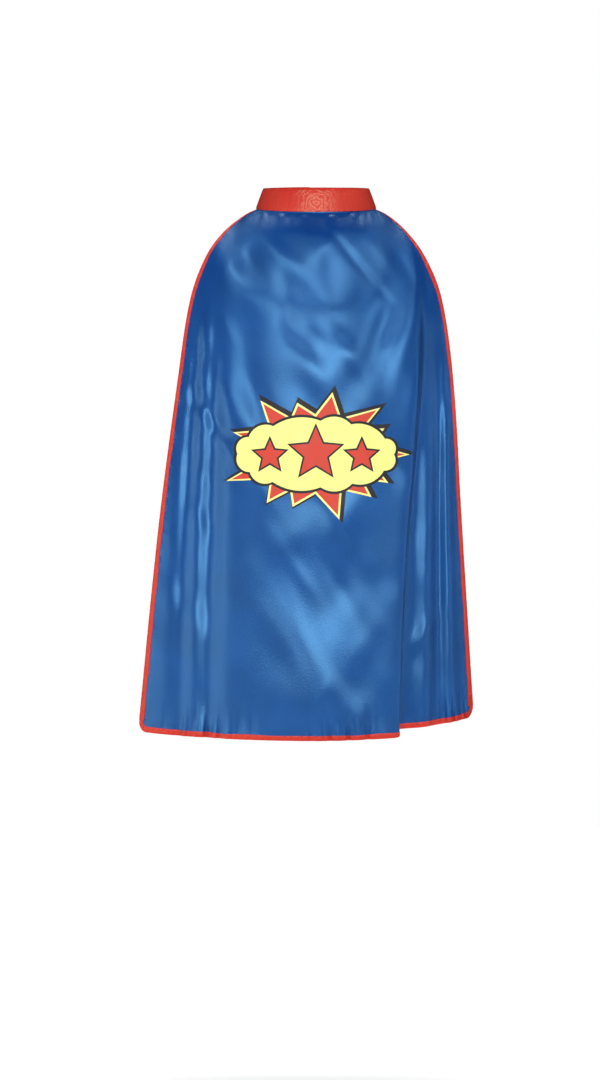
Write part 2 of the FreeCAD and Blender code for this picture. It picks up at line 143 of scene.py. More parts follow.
# ---- collar ----
COLLAR_HALF_WIDTH = 78.5
COLLAR_HALF_DEPTH = 66.0
COLLAR_LEAN = 9.5
NAPE_DROP = 11.0
COLLAR_HEIGHT = 26.0
NAPE_EXTRA = 3.0
COLLAR_THICK = 1.9
PLY_THICK = 0.6
LINING_INSETS = (0.2, 0.5)
STIFFENING_DEPTHS = (0.68, 1.22)
STIFFENING_INSETS = (2.0, 2.5)
COLLAR_STATIONS = 200
COLLAR_LEVELS = 13
SWING_AT = 120.0
SWING_SOFT = 9.0
RIGHT_TIP_AT = 207.0
LEFT_TIP_AT = 178.0
RIGHT_STANDS_OUT = 2.1
LEFT_STANDS_IN = 2.4
LAP_STARTS = 125.0
LAP_ENDS = 160.0
TIP_ROUND = 8.0
# half width of the pale watered rings at the nape, which are partly a painted highlight on the puckered satin
MOIRE_SHEEN_HALF_WIDTH = 30.0

# ---- collar trims ----
THREAD_SINK = 0.1
NECK_SEAM_UP = 2.5
TAPE_FROM = 182.0
TAPE_TO = 204.0
TAPE_BASE = 0.45
TAPE_PILE = 0.42
TAPE_MARGIN = 5.0
TAPE_TOP = 18.0
TAPE_CORNER = 2.0
TAPE_SEAM_INSET = 1.6
HOOK_PITCH = 1.1
LABEL_WIDTH = 26.0
LABEL_LENGTH = 34.0
LABEL_THICK = 0.3
LABEL_HOLD = 4.0
LABEL_GAP = 0.75
LABEL_ROWS = 25

# ---- emblem ----
EMBLEM_X = -1.0
EMBLEM_Z = -323.0
FILM = 0.07
FILM_UNDERSIDE = 0.6
BEFORE_CAPE_Y = -400.0
SPIKES = 14
BURST_HALF_WIDTH = 106.0
BURST_HALF_HEIGHT = 71.0
VALLEY = 0.66
KEYLINE = 2.6
OUTLINE = 3.2
SHADOW_SHIFT = 2.4
LOBES = 12
CLOUD_HALF_WIDTH = 99.0
CLOUD_HALF_HEIGHT = 42.0
LOBE_BULGE = 7.5
CLOUD_OUTLINE = 3.4
STAR_PLACES = ((0.0, 1.0, 33.0), (-58.0, -2.0, 20.0), (58.0, -2.0, 20.0))
STAR_OUTLINE = 2.4
STAR_WAIST = 0.45
TIP_REACH = 2.2
FILM_STEP = 3.0

# ---- studio ----
FLOOR_Z = -1080.0
FLOOR_REACH = 3000.0


# ---- form of the cape ----

def through(knots, t):
    """The values at t of a smooth curve through the knots (t, value)."""
    t = np.asarray(t, float)
    places = np.array([k[0] for k in knots], float)
    values = np.array([k[1] for k in knots], float)
    last = len(knots) - 1
    i = np.clip(np.searchsorted(places, t, side="left") - 1, 0, last - 1)
    before, after = np.maximum(i - 1, 0), np.minimum(i + 2, last)
    span = places[i + 1] - places[i]
    slope0 = (values[i + 1] - values[before]) / (places[i + 1] - places[before])
    slope1 = (values[after] - values[i]) / (places[after] - places[i])
    u = np.clip((t - places[i]) / span, 0, 1)
    ends = values[i] * (1 + 2 * u) * (1 - u) ** 2 + values[i + 1] * u * u * (3 - 2 * u)
    return ends + span * (slope0 * u * (1 - u) ** 2 - slope1 * u * u * (1 - u))


def guide(values, t):
    return through(tuple(zip(DOWN, values)), t)


def grown_after(knots, t):
    return np.where(t > knots[0][0], through(knots, t), 0.0)


def smooth_step(low, high, x):
    u = np.clip((x - low) / (high - low), 0, 1)
    return u * u * (3 - 2 * u)


@cache
def dents():
    """The small dents, as swells at seeded random places."""
    chance = random.Random(11)
    made = []
    for _ in range(DENTS):
        x, z = chance.uniform(*DENT_X), chance.uniform(*DENT_Z)
        wide, long = chance.uniform(*DENT_WIDE), chance.uniform(*DENT_LONG)
        calm = 0.45 + 0.55 * float(smooth_step(*DENT_CALM, z))
        height = DENT_HEIGHT * math.sqrt(wide * long) * chance.uniform(-1, 1) * calm
        made.append((x, z, wide, long, chance.uniform(*DENT_SLANT), height))
    return tuple(made)


def puckers(s, t):
    """How far the puckers along the stitched edges lift the cloth."""
    along_hem, along_side = s * EDGE_PER_S, t * EDGE_PER_T
    from_hem, from_side = (1 - t) * EDGE_PER_T, (1 - np.abs(s)) * EDGE_PER_S
    lift = np.zeros_like(s * t)
    for k, (wave, height) in enumerate(PUCKER_WAVES):
        shift = 1.7 * k + 0.8
        hem = np.sin(2 * math.pi * along_hem / wave + shift + 2.2 * np.sin(along_hem / 41 + k))
        side = np.sin(2 * math.pi * along_side / wave + shift + 2.2 * np.sin(along_side / 53 + k))
        uneven = 0.6 + 0.6 * np.sin(along_hem / 29)
        lift = lift + height * hem * np.exp(-(from_hem / HEM_PUCKER_REACH) ** 2) * uneven
        lift = lift + SIDE_PUCKER_SHARE * height * side * np.exp(-(from_side / SIDE_PUCKER_REACH) ** 2)
        neck = np.sin(s * 62 / (1 + 0.5 * k) + shift) * smooth_step(2, 12, along_side)
        lift = lift + NECK_PUCKER_SHARE * height * neck * np.exp(-(along_side / NECK_PUCKER_REACH) ** 2)
    return lift


def cape_form(s, t):
    """Points of the hanging cloth, for arrays s (left edge -1, right edge 1) and t (down to the hem, 1)."""
    s, t = np.broadcast_arrays(np.asarray(s, float), np.asarray(t, float))
    wrap = np.radians(guide(WRAP, t))
    turn = np.abs(s) * wrap
    share = (1 - np.cos(turn)) / (1 - np.cos(wrap))
    pairs = (RIGHT_X, LEFT_X), (RIGHT_Y, LEFT_Y), (RIGHT_Z, LEFT_Z)
    side_x, side_y, side_z = (np.where(s > 0, guide(right, t), guide(left, t)) for right, left in pairs)
    x = side_x * np.sin(turn) / np.sin(wrap)
    y = guide(CENTRE_Y, t) * (1 - share) + side_y * share
    z = guide(CENTRE_Z, t) * (1 - share) + side_z * share
    for place, half, height in WAVES:
        u = (s - through(place, t)) / through(half, t)
        y = y - grown_after(height, t) * np.exp(-u * u)
    for at_x, at_z, wide, long, slant, height in SWELLS + dents():
        v = (z - at_z) / long
        u = (x - at_x - slant * (z - at_z)) / wide
        y = y - height * np.exp(-u * u - v * v)
    y = y - puckers(s, t)
    u = (s - through(PLEAT_AT, t)) / through(PLEAT_HALF, t)
    over = (1 + np.tanh(1.5 * u)) / 2
    x = x - grown_after(PLEAT_LAP, t) * 2.33 * u * np.exp(-u * u)
    y = y + grown_after(PLEAT_STEP, t) * over
    z = z + grown_after(PLEAT_RISE, t) * over
    return np.stack([x, y, z], axis=-1)


def corner_rise(s):
    """How far the rounded corners lift the hem, as a part of the cape's length."""
    q = np.clip((np.abs(s) - 1 + CORNER_S) / CORNER_S, 0, 1)
    return CORNER_T * (1 - np.sqrt(1 - q * q))


def columns():
    """Places across the cloth, closer together round the hem's corners."""
    bend = 1 - CORNER_S + CORNER_S * np.sin(np.radians(np.arange(15, 91, 15)))
    flat = np.linspace(-1 + CORNER_S, 1 - CORNER_S, ACROSS - 2 * len(bend))
    return np.concatenate([-bend[::-1], flat, bend])


# ---- meshes ----

def make_object(name, points, faces, material, smooth=True):
    """A mesh object from points in millimetres."""
    mesh = bpy.data.meshes.new(name)
    mesh.from_pydata((np.asarray(points, float).reshape(-1, 3) * MM).tolist(), [], faces)
    mesh.validate()
    mesh.update()
    mesh.materials.append(material)
    if smooth:
        mesh.polygons.foreach_set("use_smooth", [True] * len(mesh.polygons))
    piece = bpy.data.objects.new(name, mesh)
    bpy.context.scene.collection.objects.link(piece)
    return piece


def grid_faces(rows, cols, start=0, flip=False):
    """Quads of a grid stored row by row."""
    i, j = np.meshgrid(np.arange(rows - 1), np.arange(cols - 1), indexing="ij")
    a = (start + i * cols + j).ravel()
    quads = np.stack([a, a + 1, a + cols + 1, a + cols], axis=1)
    if flip:
        quads = quads[:, ::-1]
    return quads.tolist()


def grid_normals(grid):
    """Unit normals of a grid of points, away from the wearer on the cape."""
    across = np.gradient(grid, axis=0)
    down = np.gradient(grid, axis=1)
    normal = np.cross(down, across)
    return normal / np.linalg.norm(normal, axis=-1, keepdims=True)


def closed_tube(name, sections, material):
    """A closed band: sections[i] is a ring of points; the ends are capped."""
    sections = np.asarray(sections)
    count, around = sections.shape[:2]
    faces = []
    for i in range(count - 1):
        for j in range(around):
            k = (j + 1) % around
            faces.append((i * around + j, i * around + k, (i + 1) * around + k, (i + 1) * around + j))
    faces.append(tuple(range(around - 1, -1, -1)))
    faces.append(tuple((count - 1) * around + j for j in range(around)))
    return sharpen(make_object(name, sections, faces, material))


def sharpen(piece, degrees=50):
    piece.data.set_sharp_from_angle(angle=math.radians(degrees))
    return piece


def add_uv(piece, flat):
    """UV coordinates in metres of cloth, one pair per vertex."""
    layer = piece.data.uv_layers.new(name="cloth")
    loops = np.empty(len(piece.data.loops), dtype=np.int32)
    piece.data.loops.foreach_get("vertex_index", loops)
    layer.data.foreach_set("uv", flat[loops].astype(np.float32).ravel())


def band_uv(piece, distance, width, around):
    """UV coordinates of a closed band, along it and round it."""
    u, v = np.meshgrid(distance * MM, np.linspace(0, width * MM, around), indexing="ij")
    add_uv(piece, np.stack([u.ravel(), v.ravel()], axis=1))


# ---- materials ----

def new_material(name):
    material = bpy.data.materials.new(name)
    material.use_nodes = True
    return material, material.node_tree, material.node_tree.nodes["Principled BSDF"]


def dial(node, values):
    """Set a node's sockets by name."""
    for name, value in values.items():
        node.inputs[name].default_value = value


def mapped(tree, scale, coordinates="Object"):
    coords = tree.nodes.new("ShaderNodeTexCoord")
    mapping = tree.nodes.new("ShaderNodeMapping")
    mapping.inputs["Scale"].default_value = scale
    tree.links.new(coords.outputs[coordinates], mapping.inputs["Vector"])
    return mapping.outputs["Vector"]


def noise(tree, stretch, scale, detail, coordinates="Object"):
    vector = mapped(tree, stretch, coordinates)
    node = tree.nodes.new("ShaderNodeTexNoise")
    dial(node, {"Scale": scale, "Detail": detail})
    tree.links.new(vector, node.inputs["Vector"])
    return node.outputs["Fac"]


def ramp(tree, factor, stops):
    node = tree.nodes.new("ShaderNodeValToRGB")
    while len(node.color_ramp.elements) < len(stops):
        node.color_ramp.elements.new(0.5)
    for element, (place, colour) in zip(node.color_ramp.elements, stops):
        element.position = place
        element.color = (*colour, 1)
    tree.links.new(factor, node.inputs["Fac"])
    return node.outputs["Color"]


def bump(tree, height, strength, distance, under=None):
    node = tree.nodes.new("ShaderNodeBump")
    dial(node, {"Strength": strength, "Distance": distance})
    tree.links.new(height, node.inputs["Height"])
    if under is not None:
        tree.links.new(under, node.inputs["Normal"])
    return node.outputs["Normal"]


def satin(name, dark, light, gloss, roughness, ior, coordinates="UV"):
    """Satin: a fine grain under a tinted gloss that spreads across the cloth."""
    material, tree, shader = new_material(name)
    clouds = noise(tree, (1, 1, 1), 14.0, 3.0, coordinates)
    tree.links.new(ramp(tree, clouds, ((0.3, dark), (0.7, light))), shader.inputs["Base Color"])
    warp = noise(tree, (1300, 800, 1300), 1.0, 2.0, coordinates)
    slub = noise(tree, (560, 500, 560), 1.0, 2.0, coordinates)
    grain = bump(tree, warp, 0.32, 0.0002)
    soft = bump(tree, slub, 0.5, 0.0003, grain)
    tree.links.new(soft, shader.inputs["Normal"])
    dial(shader, {"Roughness": roughness, "IOR": ior, "Specular Tint": (*gloss, 1), "Anisotropic": 0.94})
    if coordinates == "UV":
        weft = tree.nodes.new("ShaderNodeTangent")
        weft.direction_type = "UV_MAP"
        weft.uv_map = "cloth"
        tree.links.new(weft.outputs["Tangent"], shader.inputs["Tangent"])
    return material


def maths(tree, kind, one, two):
    """A math node; each input is a number or another node's output."""
    node = tree.nodes.new("ShaderNodeMath")
    node.operation = kind
    for socket, value in zip(node.inputs, (one, two)):
        if isinstance(value, (int, float)):
            socket.default_value = value
        else:
            tree.links.new(value, socket)
    return node.outputs["Value"]


def moire_and_painted_sheen(material, pale):
    """Pale watered rings round the nape, where the satin lies pressed on the interfacing; the pale colour is
    partly a painted highlight, standing for the sheen of the puckered satin there.
    """
    tree = material.node_tree
    shader = tree.nodes["Principled BSDF"]
    base = shader.inputs["Base Color"].links[0].from_socket
    place = mapped(tree, (1000, 0, 1000))
    rings = tree.nodes.new("ShaderNodeTexWave")
    rings.wave_type = "RINGS"
    rings.rings_direction = "SPHERICAL"
    dial(rings, {"Scale": 0.06, "Distortion": 9.0, "Detail": 3.0, "Detail Scale": 2.6})
    tree.links.new(place, rings.inputs["Vector"])
    split = tree.nodes.new("ShaderNodeSeparateXYZ")
    tree.links.new(mapped(tree, (1000, 1000, 1000)), split.inputs["Vector"])
    away = maths(tree, "DIVIDE", split.outputs["X"], MOIRE_SHEEN_HALF_WIDTH)
    near = maths(tree, "SUBTRACT", 1.0, maths(tree, "MULTIPLY", away, away))
    near = maths(tree, "MAXIMUM", near, 0.0)
    near = maths(tree, "MULTIPLY", near, maths(tree, "LESS_THAN", split.outputs["Y"], 0.0))
    mix = tree.nodes.new("ShaderNodeMix")
    mix.data_type = "RGBA"
    # painted highlight: inside the nape's mask, the rings turn the colour pale, like the sheen of puckered
    # satin
    painted_sheen = maths(tree, "MULTIPLY", rings.outputs["Fac"], 0.9)
    tree.links.new(maths(tree, "MULTIPLY", near, painted_sheen), mix.inputs["Factor"])
    tree.links.new(base, mix.inputs["A"])
    mix.inputs["B"].default_value = (*pale, 1)
    tree.links.new(mix.outputs["Result"], shader.inputs["Base Color"])
    return material


def ink(name, colour, worn):
    """Matt plastisol print with a faint pebble and slight fading."""
    material, tree, shader = new_material(name)
    patches = noise(tree, (1, 1, 1), 60.0, 4.0)
    tree.links.new(ramp(tree, patches, ((0.35, colour), (0.75, worn))), shader.inputs["Base Color"])
    pebble = noise(tree, (1, 1, 1), 900.0, 2.0)
    tree.links.new(bump(tree, pebble, 0.12, 0.0003), shader.inputs["Normal"])
    dial(shader, {"Roughness": 0.6, "Specular IOR Level": 0.22})
    return material


def matt(name, dark, light, per_metre, roughness, detail=3.0, strength=0.5, distance=0.0004):
    """Matt cloth or thread, for the interfacing, the tapes, the label and the stitches."""
    material, tree, shader = new_material(name)
    weave = noise(tree, (per_metre, per_metre, per_metre), 1.0, detail)
    tree.links.new(ramp(tree, weave, ((0.3, dark), (0.7, light))), shader.inputs["Base Color"])
    tree.links.new(bump(tree, weave, strength, distance), shader.inputs["Normal"])
    dial(shader, {"Roughness": roughness})
    return material


RED_GLOSS = (1.0, 0.45, 0.32)
BLUE = satin("blue_satin", (0.001, 0.023, 0.122), (0.002, 0.034, 0.165), (0.23, 0.62, 1.0), 0.37, 1.9)
BLUE_BACK = satin("blue_satin_reverse", (0.003, 0.026, 0.13), (0.004, 0.034, 0.16), (0.4, 0.8, 1.0), 0.7, 1.4)
RED = satin("red_satin", (0.36, 0.018, 0.012), (0.43, 0.025, 0.016), RED_GLOSS, 0.42, 1.55, "Object")
INK_BLACK = ink("print_black", (0.008, 0.009, 0.012), (0.014, 0.015, 0.018))
INK_CREAM = ink("print_cream", (0.68, 0.62, 0.20), (0.64, 0.585, 0.22))
INK_RED = ink("print_red", (0.42, 0.036, 0.021), (0.38, 0.043, 0.027))
INK_YELLOW = ink("print_yellow", (0.62, 0.605, 0.17), (0.585, 0.575, 0.19))
THREAD_RED = matt("red_thread", (0.40, 0.02, 0.015), (0.62, 0.05, 0.035), 1500, 0.5, 1.0, 0.3, 0.0002)
# the outer collar ply: round the nape its colour turns pale in watered rings, partly a painted highlight of
# the puckered satin
COLLAR_RED = moire_and_painted_sheen(
    satin("collar_satin", (0.32, 0.016, 0.011), (0.38, 0.022, 0.014), RED_GLOSS, 0.42, 1.5, "Object"),
    (0.42, 0.11, 0.075))
HOOK_TAPE = matt("hook_tape", (0.30, 0.012, 0.010), (0.42, 0.022, 0.016), 1500, 0.55)
LOOP_TAPE = matt("loop_tape", (0.34, 0.014, 0.012), (0.55, 0.040, 0.030), 2600, 0.95)
LABEL = matt("label", (0.78, 0.78, 0.76), (0.88, 0.88, 0.86), 2200, 0.6)
STIFFENING = matt("interfacing", (0.7, 0.7, 0.68), (0.85, 0.85, 0.83), 1800, 0.9)


# ---- cape panel ----

class Cloth:
    """The finished cloth: a grid of points that can be read at any (s, t)."""

    def __init__(self, grid, s, v):
        self.grid, self.s, self.v = grid, s, v
        self.normals = grid_normals(grid)

    def at(self, s, t):
        """Point and outward normal at (s, t)."""
        s, t = np.broadcast_arrays(np.asarray(s, float), np.asarray(t, float))
        v = np.clip(t / (1 - corner_rise(s)), 0, 1)
        i = np.interp(s, self.s, np.arange(len(self.s)))
        j = np.interp(v, self.v, np.arange(len(self.v)))
        i0 = np.minimum(i.astype(int), len(self.s) - 2)
        j0 = np.minimum(j.astype(int), len(self.v) - 2)
        a, b = (i - i0)[..., None], (j - j0)[..., None]

        def mix(values):
            low = values[i0, j0] * (1 - a) + values[i0 + 1, j0] * a
            high = values[i0, j0 + 1] * (1 - a) + values[i0 + 1, j0 + 1] * a
            return low * (1 - b) + high * b
        normal = mix(self.normals)
        return mix(self.grid), normal / np.linalg.norm(normal, axis=-1, keepdims=True)


def rows_down():
    """Places down the cloth, closer together at the neckline and above the hem."""
    neck, hem = 0.04, 0.955
    middle = np.linspace(neck, hem, ALONG - 42)
    return np.concatenate([np.linspace(0, neck, 16), middle[1:], np.linspace(hem, 1, 28)[1:]])


def hanging_cloth():
    """The hanging form over columns s and rows v; v = 1 is the hem, even at the round corners."""
    s, v = columns(), rows_down()
    t = v[None, :] * (1 - corner_rise(s))[:, None]
    return Cloth(cape_form(s[:, None] * np.ones_like(t), t), s, v)


def neck_tuck(grid):
    """Rows above the neckline that run up between the collar's plies, top row first."""
    first = grid[:, :1]
    steps = np.array([NECK_TUCK, NECK_TUCK * 0.5])
    tuck = np.repeat(first, 2, axis=1)
    tuck[:, :, 2] += steps[None, :]
    return tuck


def build_panel(cloth):
    """The satin panel as a closed cloth: its right side outside and its dull side inside."""
    grid = np.concatenate([neck_tuck(cloth.grid), cloth.grid], axis=1)
    normals = grid_normals(grid)
    rows, cols = grid.shape[:2]
    count = rows * cols
    outer = grid + normals * CLOTH / 2
    inner = grid - normals * CLOTH / 2
    faces = grid_faces(rows, cols, 0, True) + grid_faces(rows, cols, count, False)
    rim = [i * cols for i in range(rows)]
    rim += [(rows - 1) * cols + j for j in range(1, cols)]
    rim += [i * cols + cols - 1 for i in range(rows - 2, -1, -1)]
    rim += [j for j in range(cols - 2, 0, -1)]
    for a, b in zip(rim, rim[1:] + rim[:1]):
        faces.append((a, b, b + count, a + count))
    points = np.concatenate([outer.reshape(-1, 3), inner.reshape(-1, 3)])
    panel = make_object("cape_panel_satin", points, faces, BLUE)
    panel.data.materials.append(BLUE_BACK)
    one_side = (rows - 1) * (cols - 1)
    slots = np.zeros(len(panel.data.polygons), dtype=np.int32)
    slots[one_side:2 * one_side] = 1
    panel.data.polygons.foreach_set("material_index", slots)
    steps = np.linalg.norm(np.diff(grid, axis=0), axis=-1)
    across = np.concatenate([np.zeros((1, cols)), np.cumsum(steps, axis=0)])
    across -= across[rows // 2][None, :]
    middle = np.linalg.norm(np.diff(grid[rows // 2], axis=0), axis=-1)
    down = np.concatenate([[0], np.cumsum(middle)])
    flat = np.stack([across.ravel(), np.repeat(down[None, :], rows, axis=0).ravel()], axis=1) * MM
    add_uv(panel, np.concatenate([flat, flat]))
    return panel


def on_cape(piece):
    """Bakes a cape piece's placement into its mesh."""
    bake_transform(piece)


# ---- edge binding and its stitches ----

def edge_stations():
    """Places from the left neckline, down the side and round the hem, to the right neckline."""
    side = np.linspace(0.002, 1 - CORNER_T, SIDE_STATIONS)
    turn = np.radians(np.arange(9, 90, 9))
    hem = np.linspace(-1 + CORNER_S, 1 - CORNER_S, HEM_STATIONS)
    count = len(turn)
    s = np.concatenate([np.full(len(side) + count, -1.0), hem, np.full(count + len(side), 1.0)])
    t = np.concatenate([side, np.ones(count + len(hem) + count), side[::-1]])
    kind = np.repeat((0, 1, 2, 1, 0), (len(side), count, len(hem), count, len(side)))
    angle = np.concatenate([0 * side, turn, 0 * hem, turn[::-1], 0 * side])
    return s, t, kind, angle


def inside_edge(stations, inset):
    """(s, t) of the places that lie inset from the edge."""
    s, t, kind, angle = stations
    sign = np.sign(s)
    part = (CORNER - inset) / CORNER
    step = 0.002
    span = np.linalg.norm(cape_form(s, t) - cape_form(s - sign * step, t), axis=-1) / step
    side_s = s - sign * inset / span
    corner_s = sign * (1 - CORNER_S + CORNER_S * part * np.cos(angle))
    corner_t = 1 - CORNER_T + CORNER_T * part * np.sin(angle)
    new_s = np.where(kind == 0, side_s, np.where(kind == 1, corner_s, s))
    new_t = np.where(kind == 0, t, np.where(kind == 1, corner_t, t - inset / EDGE_PER_T))
    return new_s, new_t


def edge_points(cloth, stations, inset, out):
    """Points beside the edge; a negative inset lies beyond it."""
    near, normal = cloth.at(*inside_edge(stations, max(inset, 0.0)))
    if inset < 0:
        inner = cloth.at(*inside_edge(stations, 2.0))[0]
        away = near - inner
        away = away / np.linalg.norm(away, axis=-1, keepdims=True)
        near = near - away * inset
    return near + normal * np.asarray(out)[..., None]


def along(points):
    """Distance along a line of points."""
    steps = np.linalg.norm(np.diff(points, axis=0), axis=-1)
    return np.concatenate([[0], np.cumsum(steps)])


def ripples(distance, seed, lengths, heights):
    """Uneven ripples along a line: sines whose phases drift."""
    draw = random.Random(seed)
    total = np.zeros_like(distance)
    for length, height in zip(lengths, heights):
        phase, drift = draw.uniform(0, 6.28), draw.uniform(2.5, 4.5)
        wander = 1.3 * np.sin(distance / (length * drift) + phase)
        total += height * np.sin(6.283 * distance / length + phase + wander)
    return total


def build_binding(cloth):
    """One bias tape folded over both sides and the hem, with soft puckers along it."""
    stations = edge_stations()
    rim = edge_points(cloth, stations, 0.0, np.zeros(len(stations[0])))
    distance = along(rim)
    pucker = ripples(distance, 5, (7.5, 11.0, 19.0), (0.10, 0.10, 0.08))
    width = BINDING_WIDTH + ripples(distance, 6, (60.0, 95.0), (0.25, 0.3))
    wall = CLOTH / 2 + BINDING_GAP
    fold = wall + BINDING_THICK
    profile = [(1.0, wall), (1.0, fold)]
    profile += [(0.86, fold + 0.12), (0.62, fold + 0.05), (0.36, fold + 0.14), (0.12, fold + 0.1)]
    profile += [(-0.04, fold * 0.82), (-0.10, fold * 0.35)]
    back = [(inset, -out) for inset, out in reversed(profile)]
    slack = [(1.0, -wall), (0.03, -wall), (0.03, wall)]
    ring = profile + back[:-1] + slack
    sections = np.zeros((len(distance), len(ring), 3))
    for k, (inset, out) in enumerate(ring):
        puffed = abs(out) > wall + 0.1 and 0.05 < inset < 0.95
        lift = out + pucker * np.sign(out) * puffed
        places = edge_points(cloth, stations, inset * BINDING_WIDTH, lift)
        if inset > 0.5:
            inner = edge_points(cloth, stations, inset * BINDING_WIDTH + 1.0, lift)
            places = places + (inner - places) * ((width - BINDING_WIDTH) * inset)[:, None]
        sections[:, k] = places
    tape = closed_tube("edge_binding_tape", sections, RED)
    band_uv(tape, distance, 4 * BINDING_WIDTH, len(ring))
    return tape


def build_stitches(name, lines, radius=THREAD, length=STITCH, pitch=STITCH_PITCH):
    """Separate stitches along lines; each line is (points, normals)."""
    points, faces = [], []
    around, rings = 6, ((-0.5, 0.35), (-0.36, 0.9), (0.0, 1.08), (0.36, 0.9), (0.5, 0.35))
    draw = random.Random(11)
    for path, normals in lines:
        distance = along(path)
        count = int(distance[-1] / pitch)
        for k in range(count):
            centre_at = (k + 0.5) * pitch + draw.uniform(-STITCH_JITTER, STITCH_JITTER)
            middle = np.array([np.interp(centre_at, distance, path[:, c]) for c in range(3)])
            ahead = np.array([np.interp(centre_at + 0.6, distance, path[:, c]) for c in range(3)])
            up = np.array([np.interp(centre_at, distance, normals[:, c]) for c in range(3)])
            run = ahead - middle
            run = run / (np.linalg.norm(run) + 1e-9)
            side = np.cross(up, run)
            side = side / (np.linalg.norm(side) + 1e-9)
            up = np.cross(run, side)
            start = len(points)
            for at, thick in rings:
                sink = -radius * 1.1 * (2 * at) ** 2
                for j in range(around):
                    turn = 2 * math.pi * j / around
                    offset = side * math.cos(turn) * thick + up * (math.sin(turn) * thick)
                    place = middle + run * (at * length) + offset * radius
                    points.append(place + up * (radius * 0.5 + sink))
            for i in range(len(rings) - 1):
                for j in range(around):
                    n = (j + 1) % around
                    a, b = start + i * around, start + (i + 1) * around
                    faces.append((a + j, a + n, b + n, b + j))
            faces.append(tuple(start + j for j in range(around - 1, -1, -1)))
            last = start + (len(rings) - 1) * around
            faces.append(tuple(last + j for j in range(around)))
    return make_object(name, points, faces, THREAD_RED)


def binding_lines(cloth):
    """Both rows of binding stitches, outside and inside."""
    stations = edge_stations()
    lines = []
    for side in (1, -1):
        out = np.full(len(stations[0]), side * (CLOTH / 2 + BINDING_THICK + 2 * BINDING_GAP))
        path = edge_points(cloth, stations, BINDING_SEAM, out)
        normals = cloth.at(*inside_edge(stations, BINDING_SEAM))[1] * side
        lines.append((path, normals))
    return lines


# ---- collar ----

def collar_height(angle):
    return COLLAR_HEIGHT + NAPE_EXTRA * np.cos(np.radians(angle))


def collar_point(angle, height, out):
    """On the band: angle from the nape, towards the wearer's right; out of its outer face by out."""
    turn = np.radians(angle)
    lean = COLLAR_LEAN * height / COLLAR_HEIGHT
    x = (COLLAR_HALF_WIDTH - lean + out) * np.sin(turn)
    y = -(COLLAR_HALF_DEPTH - lean + out) * np.cos(turn)
    z = height - NAPE_DROP * np.cos(turn)
    return np.stack(np.broadcast_arrays(x, y, z), axis=-1)


def lap(angle):
    """How far the collar's ends move apart where one lies over the other."""
    part = smooth_step(LAP_STARTS, LAP_ENDS, np.abs(angle))
    return part * np.where(np.asarray(angle) > 0, RIGHT_STANDS_OUT, -LEFT_STANDS_IN)


def tip_drop(angle, tip):
    """How far the rounded corner at a collar end lowers its top edge."""
    away = np.radians(np.abs(tip - angle)) * COLLAR_HALF_DEPTH
    q = np.clip(1 - away / TIP_ROUND, 0, 1)
    return TIP_ROUND * (1 - np.sqrt(1 - q * q))


def half_angles(tip):
    """Angles along half the collar, from the nape to one end, closer at the rounded tip."""
    sign = 1 if tip > 0 else -1
    bend = math.degrees(TIP_ROUND / COLLAR_HALF_DEPTH)
    body = np.linspace(0, abs(tip) - bend, COLLAR_STATIONS)
    turn = np.radians(np.arange(10, 91, 10))
    return sign * np.concatenate([body, abs(tip) - bend * (1 - np.sin(turn))])


def pucker(angle, level):
    """Soft vertical puckers of the satin band: strongest at the nape and near the seams."""
    nape = np.exp(-(angle / 26.0) ** 2)
    rows = ripples(np.abs(angle) * 1.25, 21, (4.3, 6.9, 11.0), (0.5, 0.6, 0.6))
    edge = 0.35 + 0.65 * np.abs(2 * level - 1) ** 1.5
    return rows * edge * (0.10 + 0.16 * nape)


def collar_ply(name, tip, depths, insets, material, puffed):
    """One ply of half the collar: a closed band between two depths, inset from both long edges."""
    (outer, inner), (low, high) = depths, insets
    angles = half_angles(tip)
    top = collar_height(angles) - tip_drop(angles, tip)
    levels = np.linspace(0, 1, COLLAR_LEVELS)
    depth_of = {1: outer, -1: inner}
    ring = []
    for side in (1, -1):
        for level in (levels if side > 0 else levels[::-1]):
            height = low + (top - high - low) * level
            round_off = (outer - inner) * -0.5 * (abs(2 * level - 1) > 0.999)
            out = -depth_of[side] + lap(angles) - side * abs(round_off)
            if puffed == side:
                out = out + side * pucker(angles, level) + side * 0.25 * math.sin(math.pi * level)
            ring.append(collar_point(angles, height, out))
    piece = closed_tube(name, np.stack(ring, axis=1), material)
    band_uv(piece, along(collar_point(angles, 0.0, 0.0)), 2 * COLLAR_HEIGHT, len(ring))
    return piece


def on_collar(piece, side):
    """Bakes half the collar's placement into its mesh; the ends of the swing line are worked out but not
    used.
    """
    sign = 1 if side == "right" else -1
    start = collar_point(sign * (SWING_AT - SWING_SOFT), 0.0, 0.0) * MM
    end = collar_point(sign * (SWING_AT + SWING_SOFT), 0.0, 0.0) * MM
    start[2] = end[2] = (start[2] + end[2]) / 2
    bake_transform(piece)


def build_collar():
    plies = (
        ("outer", (0.0, PLY_THICK), (0.0, 0.0), COLLAR_RED, 1, "red_satin"),
        ("lining", (COLLAR_THICK - PLY_THICK, COLLAR_THICK), LINING_INSETS, RED, -1, "red_satin"),
        ("interfacing", STIFFENING_DEPTHS, STIFFENING_INSETS, STIFFENING, 0, "interfacing"),
    )
    for side, tip in (("right", RIGHT_TIP_AT), ("left", -LEFT_TIP_AT)):
        for node, depths, insets, material, puffed, slot in plies:
            piece = collar_ply("collar_" + node + "_" + side, tip, depths, insets, material, puffed)
            on_collar(piece, side)
            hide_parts("collar_" + side + "_" + node, "collar_back_" + node)


# ---- collar trims ----

def collar_line(angles, height, out, outward):
    """A stitch line round the band, on its outer or inner face: points and normals."""
    path = collar_point(angles, height, out + lap(angles))
    normals = (collar_point(angles, height, 1.0) - collar_point(angles, height, 0.0)) * outward
    return path, normals / np.linalg.norm(normals, axis=-1, keepdims=True)


